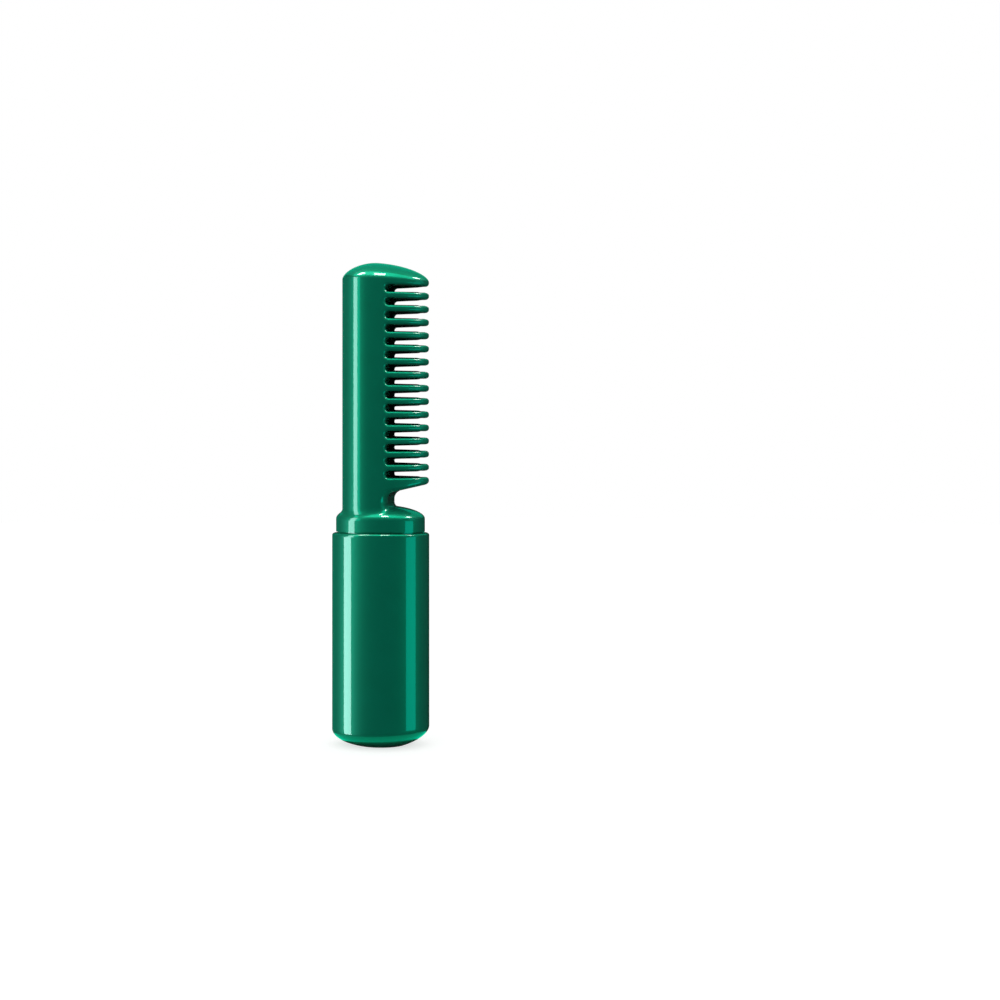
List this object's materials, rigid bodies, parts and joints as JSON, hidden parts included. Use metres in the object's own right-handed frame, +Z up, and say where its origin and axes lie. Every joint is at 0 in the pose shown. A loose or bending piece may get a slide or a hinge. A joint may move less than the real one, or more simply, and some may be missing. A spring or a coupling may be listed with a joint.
{
  "type": "hair straightening comb",
  "caption": "Cordless heated comb: oval handle with a battery and a power button, and a finned head round a hot metal comb.",
  "frame": {"origin": "centre of the flat under the handle, where the comb stands", "axes": "+Z up the handle to the head's tip, +X the way the teeth point, -Y the front, +Y the back with the button"},
  "size_m": [0.034, 0.025, 0.1673],
  "materials": {
    "green_plastic": "moulded gloss, deep green",
    "bezel_metal": "moulded gloss, a shade lighter than the shells",
    "clear_plastic": "frosted light pipe",
    "sheet_steel": "stamped and nickel plated",
    "nickel_strip": "rolled strip",
    "screw_steel": "zinc plated",
    "black_plastic": "fine moulded texture",
    "ivory_plastic": "satin",
    "cell_wrap": "shrink wrap over the can",
    "black_foam": "closed-cell foam",
    "board_laminate": "solder mask over glass laminate",
    "chip_resin": "moulded resin",
    "lead_insulation": "silicone insulation",
    "comb_coating": "black non-stick coating",
    "heater_ceramic": "fired alumina, unglazed",
    "mica_sheet": "split mica",
    "spacer_brass": "turned",
    "fuse_can": "plated can",
    "sensor_bead": "dipped bead"
  },
  "bodies": {
    "root": {"handle_front_shell": "green_plastic", "handle_rear_shell": "green_plastic", "comb_front_shell": "green_plastic", "comb_rear_shell": "green_plastic", "button_bezel": "bezel_metal", "status_light_pipes": "clear_plastic", "usb_socket_shell": "sheet_steel", "usb_socket_tongue": "black_plastic", "inner_frame": "black_plastic", "battery_cell": "cell_wrap", "battery_top_tab": "nickel_strip", "battery_bottom_tab": "nickel_strip", "battery_pads": "black_foam", "control_board": "board_laminate", "control_chip": "chip_resin", "power_transistors": "chip_resin", "lead_connector": "ivory_plastic", "status_leds": "ivory_plastic", "switch_body": "black_plastic", "switch_snap_dome": "nickel_strip", "charge_board": "board_laminate", "charge_chip": "chip_resin", "charge_inductor": "chip_resin", "charge_capacitors": "chip_resin", "battery_leads": "lead_insulation", "charge_leads": "lead_insulation", "heater_leads": "lead_insulation", "sensor_leads": "lead_insulation", "board_screws": "screw_steel", "charge_board_screws": "screw_steel", "frame_screws": "screw_steel", "shell_screws": "screw_steel", "heating_comb": "comb_coating", "heater_front": "heater_ceramic", "heater_rear": "heater_ceramic", "heater_insulation": "mica_sheet", "clamp_plate_front": "sheet_steel", "clamp_plate_rear": "sheet_steel", "clamp_spacers": "spacer_brass", "clamp_screws": "screw_steel", "heater_carrier": "black_plastic", "carrier_screw": "screw_steel", "thermal_fuse": "fuse_can", "temperature_sensor": "sensor_bead"},
    "button": {"power_button": "green_plastic"},
    "plunger": {"switch_plunger": "ivory_plastic"}
  },
  "joints": [
    {"name": "button_press", "type": "slide", "parent": "root", "child": "button", "axis": [0, -1, 0], "range_m": [0, 0.0004], "stiffness_N_per_m": 2500, "deforming": ["switch_snap_dome"]},
    {"name": "plunger_press", "type": "slide", "parent": "root", "child": "plunger", "axis": [0, -1, 0], "range_m": [0, 0.0004], "deforming": ["switch_snap_dome"]}
  ],
  "couplings": [
    {"joint": "plunger_press", "follows": "button_press", "ratio": 1}
  ]
}
